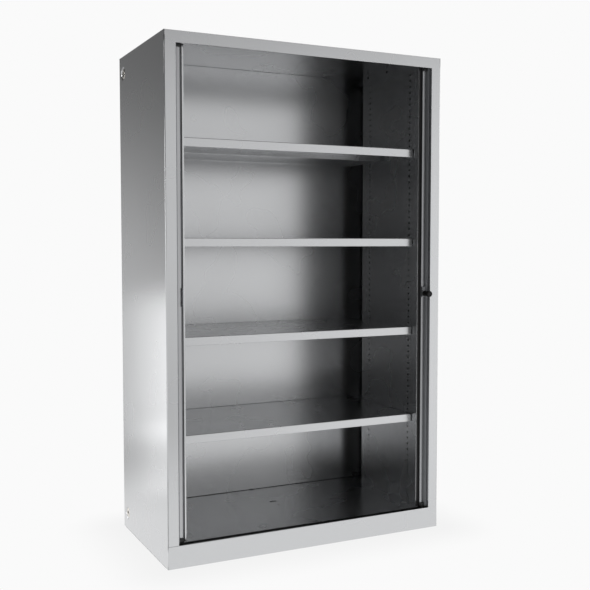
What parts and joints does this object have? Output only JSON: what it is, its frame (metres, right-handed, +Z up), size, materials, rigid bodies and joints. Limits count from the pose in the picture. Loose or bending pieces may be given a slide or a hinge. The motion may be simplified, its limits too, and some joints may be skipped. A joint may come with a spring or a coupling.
{
  "type": "tambour door cabinet",
  "caption": "Tall steel storage cupboard with side-opening tambour doors parked open, slotted inner sides, folded steel shelves and a lock knob on one leading edge.",
  "frame": {"origin": "on the floor, under the middle of the whole box, with the lock knob counted", "axes": "+X to the right seen from the front, +Y to the rear, +Z up; the doors face -Y"},
  "size_m": [1.2, 0.62, 1.98],
  "materials": {
    "silver_paint": "satin metallic silver",
    "anodised_aluminium": "bright anodised",
    "black_acetal": "moulded",
    "grey_pvc": "extruded satin",
    "zinc_plated_steel": "zinc plated",
    "blackened_steel": "black oxide",
    "black_rubber": "matt",
    "black_nylon": "moulded satin",
    "nickel_plate": "polished"
  },
  "bodies": {
    "carcass": {"left_side_panel": "silver_paint", "right_side_panel": "silver_paint", "top_panel": "silver_paint", "plinth": "silver_paint", "back_panel": "silver_paint", "left_base_channel": "silver_paint", "right_base_channel": "silver_paint", "front_cross_rail": "silver_paint", "rear_cross_rail": "silver_paint", "floor_panel": "silver_paint", "foot_bushes": "zinc_plated_steel", "corner_brackets": "zinc_plated_steel", "corner_screws": "blackened_steel", "corner_nuts": "zinc_plated_steel", "left_inner_panel": "silver_paint", "right_inner_panel": "silver_paint", "panel_hangers": "zinc_plated_steel", "panel_rivets": "blackened_steel", "shelf_1": "silver_paint", "shelf_2": "silver_paint", "shelf_3": "silver_paint", "shelf_4": "silver_paint", "shelf_stiffeners": "silver_paint", "shelf_clips": "zinc_plated_steel", "left_lower_track": "black_acetal", "right_lower_track": "black_acetal", "left_upper_track": "black_acetal", "right_upper_track": "black_acetal", "front_head_channel": "zinc_plated_steel", "left_head_channel": "zinc_plated_steel", "right_head_channel": "zinc_plated_steel", "left_door_bumpers": "black_rubber", "right_door_bumpers": "black_rubber", "left_tambour_slats": "grey_pvc", "right_tambour_slats": "grey_pvc"},
    "left_door": {"left_leading_edge": "anodised_aluminium", "left_guide_shoes": "black_acetal", "left_closing_strip": "black_rubber", "strike_plate": "zinc_plated_steel", "strike_screws": "zinc_plated_steel"},
    "right_door": {"right_leading_edge": "anodised_aluminium", "right_guide_shoes": "black_acetal", "right_closing_strip": "black_rubber", "lock_barrel": "nickel_plate", "lock_nut": "zinc_plated_steel"},
    "lock": {"lock_knob": "black_nylon", "lock_cam": "zinc_plated_steel", "cam_screw": "zinc_plated_steel"},
    "left_front_foot": {"left_front_foot_pad": "black_acetal", "left_front_foot_stud": "zinc_plated_steel"},
    "left_rear_foot": {"left_rear_foot_pad": "black_acetal", "left_rear_foot_stud": "zinc_plated_steel"},
    "right_front_foot": {"right_front_foot_pad": "black_acetal", "right_front_foot_stud": "zinc_plated_steel"},
    "right_rear_foot": {"right_rear_foot_pad": "black_acetal", "right_rear_foot_stud": "zinc_plated_steel"}
  },
  "joints": [
    {"name": "left_door_slide", "type": "slide", "parent": "carcass", "child": "left_door", "axis": [1, 0, 0], "range_m": [0, 0.52625], "deforming": ["left_tambour_slats"]},
    {"name": "right_door_slide", "type": "slide", "parent": "carcass", "child": "right_door", "axis": [-1, 0, 0], "range_m": [0, 0.52625], "deforming": ["right_tambour_slats"]},
    {"name": "lock_turn", "type": "hinge", "parent": "right_door", "child": "lock", "pos_m": [0.542, -0.275, 1], "axis": [0, -1, 0], "range_deg": [0, 90]},
    {"name": "left_front_foot_level", "type": "slide", "parent": "carcass", "child": "left_front_foot", "axis": [0, 0, -1], "range_m": [0, 0.015]},
    {"name": "left_rear_foot_level", "type": "slide", "parent": "carcass", "child": "left_rear_foot", "axis": [0, 0, -1], "range_m": [0, 0.015]},
    {"name": "right_front_foot_level", "type": "slide", "parent": "carcass", "child": "right_front_foot", "axis": [0, 0, -1], "range_m": [0, 0.015]},
    {"name": "right_rear_foot_level", "type": "slide", "parent": "carcass", "child": "right_rear_foot", "axis": [0, 0, -1], "range_m": [0, 0.015]}
  ]
}
